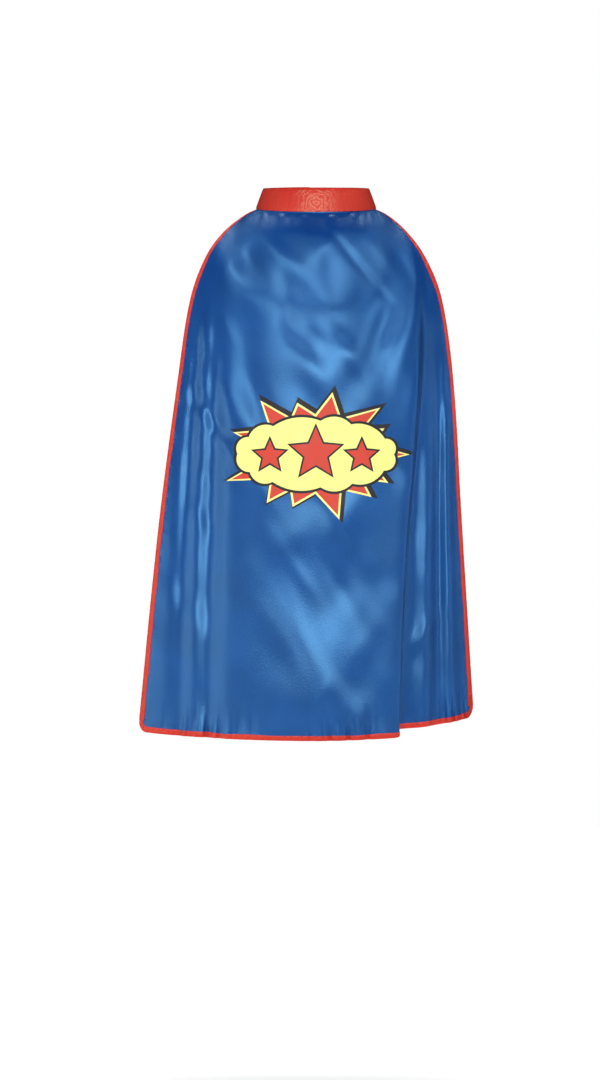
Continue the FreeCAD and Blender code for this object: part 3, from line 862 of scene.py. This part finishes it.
def tape_frame(angles, out, outward):
    """The four stitch lines round a closure tape."""
    inset = math.degrees(TAPE_SEAM_INSET / COLLAR_HALF_DEPTH)
    low, high = TAPE_MARGIN + TAPE_SEAM_INSET, TAPE_TOP - TAPE_SEAM_INSET
    inside = np.linspace(angles[0] + inset, angles[-1] - inset, 40)
    levels = np.linspace(low + STITCH / 2, high - STITCH / 2, 20)
    lines = [collar_line(inside, h, out, outward) for h in (low, high)]
    for angle in (inside[0], inside[-1]):
        lines.append(collar_line(np.full(len(levels), angle), levels, out, outward))
    return lines


def tape_slab(name, angles, out_from, out_to, material, pile=None):
    """A closure tape with rounded corners; pile lifts its working face."""
    distance = np.abs(np.radians(angles - angles[0])) * COLLAR_HALF_DEPTH
    nearest = np.minimum(distance, distance[-1] - distance)
    q = np.clip(1 - nearest / TAPE_CORNER, 0, 1)
    drop = TAPE_CORNER * (1 - np.sqrt(1 - q * q))
    middle = (TAPE_MARGIN + TAPE_TOP) / 2
    half = (TAPE_TOP - TAPE_MARGIN) / 2 - drop
    levels = np.linspace(-1, 1, 41)
    ring = [collar_point(angles, middle + half * level, out_from + lap(angles)) for level in levels[::8]]
    for level in levels[::-1]:
        lift = out_to + lap(angles)
        if pile is not None:
            lift = lift + pile(distance, middle + half * level)
        ring.append(collar_point(angles, middle + half * level, lift))
    sections = np.stack(ring, axis=1)
    if (out_to - out_from) * (angles[-1] - angles[0]) <= 0:
        sections = sections[:, ::-1]
    return closed_tube(name, sections, material)


def hook_field(angles, face, outward):
    """Rows of little bent hooks on the hook tape."""
    points, faces = [], []
    pitch = math.degrees(HOOK_PITCH / COLLAR_HALF_DEPTH)
    clear = 2.2 * TAPE_SEAM_INSET
    inset = math.degrees(clear / COLLAR_HALF_DEPTH)
    places = np.arange(angles[0] + inset, angles[-1] - inset, pitch)
    heights = np.arange(TAPE_MARGIN + clear, TAPE_TOP - clear, HOOK_PITCH)
    bend = ((0.0, 0.0), (0.0, 0.26), (0.12, 0.40), (0.34, 0.36))
    for i, angle in enumerate(places):
        for j, height in enumerate(heights):
            lean = 1 if (i + j) % 2 else -1
            start = len(points)
            for k, (forward, lift) in enumerate(bend):
                thick = 0.11 - 0.02 * k
                for turn in (45, 135, 225, 315):
                    across = thick * math.cos(math.radians(turn))
                    up = thick * math.sin(math.radians(turn))
                    at_angle = angle + math.degrees(across / COLLAR_HALF_DEPTH)
                    tall = height + lean * forward + (up if k < 2 else up * 0.4)
                    out = face + outward * (lift + (0.0 if k < 2 else up * 0.8)) + lap(at_angle)
                    points.append(collar_point(at_angle, tall, out))
            for k in range(3):
                for n in range(4):
                    m = (n + 1) % 4
                    a, b = start + 4 * k, start + 4 * k + 4
                    faces.append((a + n, a + m, b + m, b + n))
            faces.append((start + 12, start + 13, start + 14, start + 15))
    return make_object("hook_tape_hooks", points, faces, HOOK_TAPE)


def loop_pile(distance, height):
    """The uneven nap of the loop tape."""
    rough = np.sin(distance * 9.1 + 2.0 * np.sin(height * 3.7))
    rough = rough * np.sin(height * 8.3 + 1.7 * np.sin(distance * 4.9))
    nap = 0.5 + 0.3 * rough + 0.2 * np.sin(distance * 17.3 + height * 13.1)
    return TAPE_PILE * np.clip(nap, 0, 1)


def build_label():
    """The blank folded label hanging inside the nape."""
    spans = np.linspace(-LABEL_WIDTH / 2, LABEL_WIDTH / 2, 27)
    angles = np.degrees(np.arcsin(spans / COLLAR_HALF_WIDTH))
    inset = COLLAR_THICK + LABEL_GAP
    top = collar_point(angles, LABEL_HOLD, -inset)
    levels = np.linspace(0, 1, LABEL_ROWS)
    cupped = 0.4 + 0.6 * np.cos(spans[:, None] / LABEL_WIDTH * 2.4)
    curl = 1.2 * levels ** 2 * cupped + 0.15 * np.sin(6 * levels)
    ring = []
    for side in (1, -1):
        for k in range(LABEL_ROWS)[::side]:
            depth = top[:, 1] - side * LABEL_THICK / 2 + curl[:, k]
            ring.append(np.stack([spans, depth, top[:, 2] - LABEL_LENGTH * levels[k]], axis=-1))
    return closed_tube("care_label_tab", np.stack(ring, axis=1), LABEL)


def build_trims():
    """The neck seam, the label, the closure tapes and their stitches."""
    inner = -COLLAR_THICK
    seam_at = np.linspace(-SWING_AT + 1, SWING_AT - 1, 400)
    seam = build_stitches("neck_seam_stitches", [collar_line(seam_at, NECK_SEAM_UP, inner, -1)])
    hook_at = np.linspace(TAPE_FROM, TAPE_TO, 49)
    loop_at = np.linspace(TAPE_TO - 360, TAPE_FROM - 360, 49)
    hook = tape_slab("hook_tape_base", hook_at, inner - TAPE_BASE, inner - THREAD_SINK, HOOK_TAPE)
    hooks = hook_field(hook_at, inner - TAPE_BASE, -1)
    loop = tape_slab("loop_tape_base", loop_at, THREAD_SINK, TAPE_BASE, LOOP_TAPE, loop_pile)
    hook_lines = tape_frame(hook_at, 0.0, 1) + tape_frame(hook_at, inner - TAPE_BASE, -1)
    hook_row = build_stitches("hook_tape_stitches", hook_lines)
    loop_lines = tape_frame(loop_at, inner, -1) + tape_frame(loop_at, TAPE_BASE + TAPE_PILE, 1)
    loop_row = build_stitches("loop_tape_stitches", loop_lines)
    placed = (
        (seam, "neck_seam_stitching", "collar_back", "red_thread"),
        (build_label(), "care_label", "collar_back", "label_white"),
        (hook, "hook_tape", "collar_right_end", "hook_nylon"),
        (hooks, "hook_tape", "collar_right_end", "hook_nylon"),
        (hook_row, "hook_tape_stitching", "collar_right_end", "red_thread"),
        (loop, "loop_tape", "collar_left_end", "loop_pile"),
        (loop_row, "loop_tape_stitching", "collar_left_end", "red_thread"),
    )
    for piece, node, body, slot in placed:
        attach(piece, body)
        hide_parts(node)


# ---- emblem ----

def grow(outline, width):
    """An outline with every edge moved out by width; sharp tips reach out a little less."""
    grown = []
    for i, (x, z) in enumerate(outline):
        (xa, za), (xb, zb) = outline[i - 1], outline[(i + 1) % len(outline)]
        into, out = math.atan2(z - za, x - xa), math.atan2(zb - z, xb - x)
        half = ((out - into + math.pi) % (2 * math.pi) - math.pi) / 2
        aim = into + half - math.pi / 2
        reach = width * min(1 / math.cos(half), TIP_REACH)
        grown.append((x + reach * math.cos(aim), z + reach * math.sin(aim)))
    return grown


def burst():
    """Uneven spikes around an oval."""
    outline = []
    for k in range(SPIKES):
        tip = 2 * math.pi * (k + 0.16 * math.sin(2.3 * k)) / SPIKES
        dip = 2 * math.pi * (k + 0.5) / SPIKES
        for size, turn in ((1 + 0.12 * math.sin(4.1 * k + 0.6), tip), (VALLEY, dip)):
            wide, tall = BURST_HALF_WIDTH * size, BURST_HALF_HEIGHT * size
            outline.append((wide * math.cos(turn), tall * math.sin(turn)))
    return outline


def cloud(width):
    """Lobes that bulge out of an oval, all grown by width."""
    knots = []
    for k in range(LOBES):
        angle = 2 * math.pi * (k + 0.12 * math.sin(3.7 * k)) / LOBES
        knots.append((CLOUD_HALF_WIDTH * math.cos(angle), CLOUD_HALF_HEIGHT * math.sin(angle)))
    knots = grow(knots, width)
    outline = []
    for i, (x0, z0) in enumerate(knots):
        x1, z1 = knots[(i + 1) % len(knots)]
        chord = math.hypot(x1 - x0, z1 - z0)
        away = math.atan2(-(x1 - x0), z1 - z0)
        radius = (chord * chord / 4 + LOBE_BULGE ** 2) / (2 * LOBE_BULGE)
        back = radius - LOBE_BULGE
        centre = ((x0 + x1) / 2 - back * math.cos(away), (z0 + z1) / 2 - back * math.sin(away))
        half = math.asin(chord / 2 / radius)
        for k in range(10):
            angle = away - half + 2 * half * k / 10
            outline.append((centre[0] + radius * math.cos(angle), centre[1] + radius * math.sin(angle)))
    return outline


def star(x, z, size):
    points = []
    for k in range(10):
        angle = math.pi / 2 + math.pi * k / 5
        radius = size if k % 2 == 0 else size * STAR_WAIST
        points.append((x + radius * math.cos(angle), z + radius * math.sin(angle)))
    return points


def inside(outline, x, z):
    """Which points lie inside an outline."""
    hit = np.zeros(len(x), bool)
    for (x0, z0), (x1, z1) in zip(outline, outline[1:] + outline[:1]):
        if z0 == z1:
            continue
        crossing = (z0 > z) != (z1 > z)
        hit ^= crossing & (x < (x1 - x0) * (z - z0) / (z1 - z0) + x0)
    return hit


def film_mesh(outlines):
    """Fine triangles that fill the outlines, in the emblem's own plane."""
    points, faces = [], []
    for outline in outlines:
        rim = []
        for (x0, z0), (x1, z1) in zip(outline, outline[1:] + outline[:1]):
            count = max(1, round(math.hypot(x1 - x0, z1 - z0) / FILM_STEP))
            rim += [(x0 + (x1 - x0) * k / count, z0 + (z1 - z0) * k / count) for k in range(count)]
        edges = [(k, (k + 1) % len(rim)) for k in range(len(rim))]
        low, high = np.min(rim, axis=0), np.max(rim, axis=0)
        columns_at, rows_at = (np.arange(low[k], high[k], FILM_STEP) for k in (0, 1))
        gx, gz = (part.ravel() for part in np.meshgrid(columns_at, rows_at))
        keep = inside(outline, gx, gz)
        gx, gz = gx[keep], gz[keep]
        edge_x, edge_z = np.array(rim).T
        clear = np.min((gx[:, None] - edge_x) ** 2 + (gz[:, None] - edge_z) ** 2, axis=1)
        keep = clear > (0.5 * FILM_STEP) ** 2
        seeds = [Vector(p) for p in rim] + [Vector(p) for p in zip(gx[keep], gz[keep])]
        filled = delaunay_2d_cdt(seeds, edges, [tuple(range(len(rim)))], 1, 1e-5)
        start = len(points)
        points += [tuple(p) for p in filled[0]]
        faces += [tuple(start + k for k in face) for face in filled[2]]
    return np.array(points), faces


def build_film(name, level, outlines, material, finder, normals_at):
    """One colour of the print, lying on the cloth at its level of the stack."""
    flat, faces = film_mesh(outlines)
    points = []
    for x, z in flat:
        before = Vector((EMBLEM_X + x, BEFORE_CAPE_Y, EMBLEM_Z + z))
        hit, _, face, _ = finder.ray_cast(before, Vector((0, 1, 0)))
        points.append(np.array(hit) + normals_at(hit, face) * (CLOTH / 2 + FILM * (level + 1)))
    count = len(points)
    under = [p + np.array((0, FILM * FILM_UNDERSIDE, 0)) for p in points]
    edges = {}
    for face in faces:
        for a, b in zip(face, face[1:] + face[:1]):
            edges.setdefault((min(a, b), max(a, b)), []).append((a, b))
    walls = []
    for pairs in edges.values():
        if len(pairs) == 1:
            a, b = pairs[0]
            walls.append((b, a, a + count, b + count))
    lower = [tuple(k + count for k in reversed(face)) for face in faces]
    return sharpen(make_object(name, points + under, list(faces) + lower + walls, material))


def build_emblem(cloth):
    """The comic print: each colour is one film on the last."""
    rows, cols = cloth.grid.shape[:2]
    flat_points = cloth.grid.reshape(-1, 3)
    quads = grid_faces(rows, cols)
    finder = BVHTree.FromPolygons([Vector(p) for p in flat_points], quads)
    flat_normals = cloth.normals.reshape(-1, 3)

    def normals_at(hit, face):
        """The cloth's normal at a hit, by distance to the quad's corners."""
        corners = quads[face]
        away = np.linalg.norm(flat_points[corners] - np.array(hit), axis=1)
        weight = 1 / (away + 0.05)
        normal = (flat_normals[corners] * weight[:, None]).sum(axis=0)
        return normal / np.linalg.norm(normal)

    stars = [star(*place) for place in STAR_PLACES]
    shadow = [(x + SHADOW_SHIFT, z + SHADOW_SHIFT) for x, z in grow(burst(), KEYLINE + OUTLINE)]
    layers = (
        ("emblem_shadow", [shadow], INK_BLACK, "print_black"),
        ("emblem_keyline", [grow(burst(), KEYLINE)], INK_CREAM, "print_cream"),
        ("emblem_burst", [burst()], INK_RED, "print_red"),
        ("emblem_cloud_outline", [cloud(CLOUD_OUTLINE)], INK_BLACK, "print_black"),
        ("emblem_cloud", [cloud(0.0)], INK_YELLOW, "print_yellow"),
        ("emblem_star_outlines", [grow(one, STAR_OUTLINE) for one in stars], INK_BLACK, "print_black"),
        ("emblem_stars", stars, INK_RED, "print_red"),
    )
    films = []
    for level, (node, outlines, material, slot) in enumerate(layers):
        film = build_film(node + "_print", level, outlines, material, finder, normals_at)
        on_cape(film)
        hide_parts(node)
        films.append(film)
    return films


# ---- scene ----

def add_light(name, place, target, size, power, spread=180):
    data = bpy.data.lights.new(name, "AREA")
    data.shape = "RECTANGLE"
    data.size, data.size_y = size
    data.energy = power
    data.spread = math.radians(spread)
    lamp = bpy.data.objects.new(name, data)
    lamp.location = place
    lamp.rotation_euler = (Vector(target) - Vector(place)).to_track_quat("-Z", "Y").to_euler()
    bpy.context.scene.collection.objects.link(lamp)


def build_studio():
    """A round pale floor, a white surround that is dim as a light, and soft lamps."""
    around = 96
    turns = [2 * math.pi * k / around for k in range(around)]
    rim = [(FLOOR_REACH * math.cos(a), FLOOR_REACH * math.sin(a), FLOOR_Z) for a in turns]
    material, _, shader = new_material("studio_paper")
    dial(shader, {"Base Color": (0.9, 0.9, 0.9, 1), "Roughness": 0.9, "Specular IOR Level": 0.0})
    make_object("studio_floor", rim, [tuple(range(around))], material, False)
    world = bpy.context.scene.world or bpy.data.worlds.new("studio")
    bpy.context.scene.world = world
    world.use_nodes = True
    tree = world.node_tree
    surround = tree.nodes["Background"]
    surround.inputs["Color"].default_value = (1, 1, 1, 1)
    path = tree.nodes.new("ShaderNodeLightPath")
    seen = tree.nodes.new("ShaderNodeMapRange")
    dial(seen, {"To Min": 0.06, "To Max": 1.0})
    tree.links.new(path.outputs["Is Camera Ray"], seen.inputs["Value"])
    tree.links.new(seen.outputs["Result"], surround.inputs["Strength"])
    middle, shoulders = (0, -0.1, -0.35), (0, -0.1, -0.1)
    add_light("key", (0.3, -3.9, 0.0), middle, (0.9, 0.7), 88)
    add_light("top", (-0.1, -2.35, 1.5), shoulders, (1.0, 1.7), 70)
    add_light("overhead", (0.1, -1.3, 2.1), shoulders, (1.2, 0.7), 5)
    add_light("fill_left", (-2.3, -2.9, 0.1), middle, (1.0, 1.4), 8)
    add_light("fill_right", (2.6, -2.4, 0.0), middle, (1.0, 1.4), 4)
    add_light("rim_left", (-2.9, -1.1, -0.6), middle, (0.6, 1.3), 29)
    add_light("rim_right", (2.9, -1.1, -0.5), middle, (0.6, 1.3), 11)
    add_light("floor_light", (0, 1.6, 2.4), (0, 1.8, -1.08), (3.0, 1.6), 130, 72)


def build_camera():
    data = bpy.data.cameras.new("camera")
    data.lens = 105.0
    data.sensor_width = 36.0
    camera = bpy.data.objects.new("camera", data)
    camera.location = (-0.021, -4.1, -0.4315)
    camera.rotation_euler = (math.pi / 2, 0, 0)
    bpy.context.scene.collection.objects.link(camera)
    bpy.context.scene.camera = camera
    bpy.context.scene.view_settings.view_transform = "Standard"


build_camera()
build_studio()
CAPE = hanging_cloth()
panel = build_panel(CAPE)
on_cape(panel)
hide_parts("cape_panel")
binding = build_binding(CAPE)
on_cape(binding)
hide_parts("edge_binding")
stitches = build_stitches("binding_stitches", binding_lines(CAPE))
on_cape(stitches)
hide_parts("binding_stitching")
films = build_emblem(CAPE)
build_collar()
build_trims()
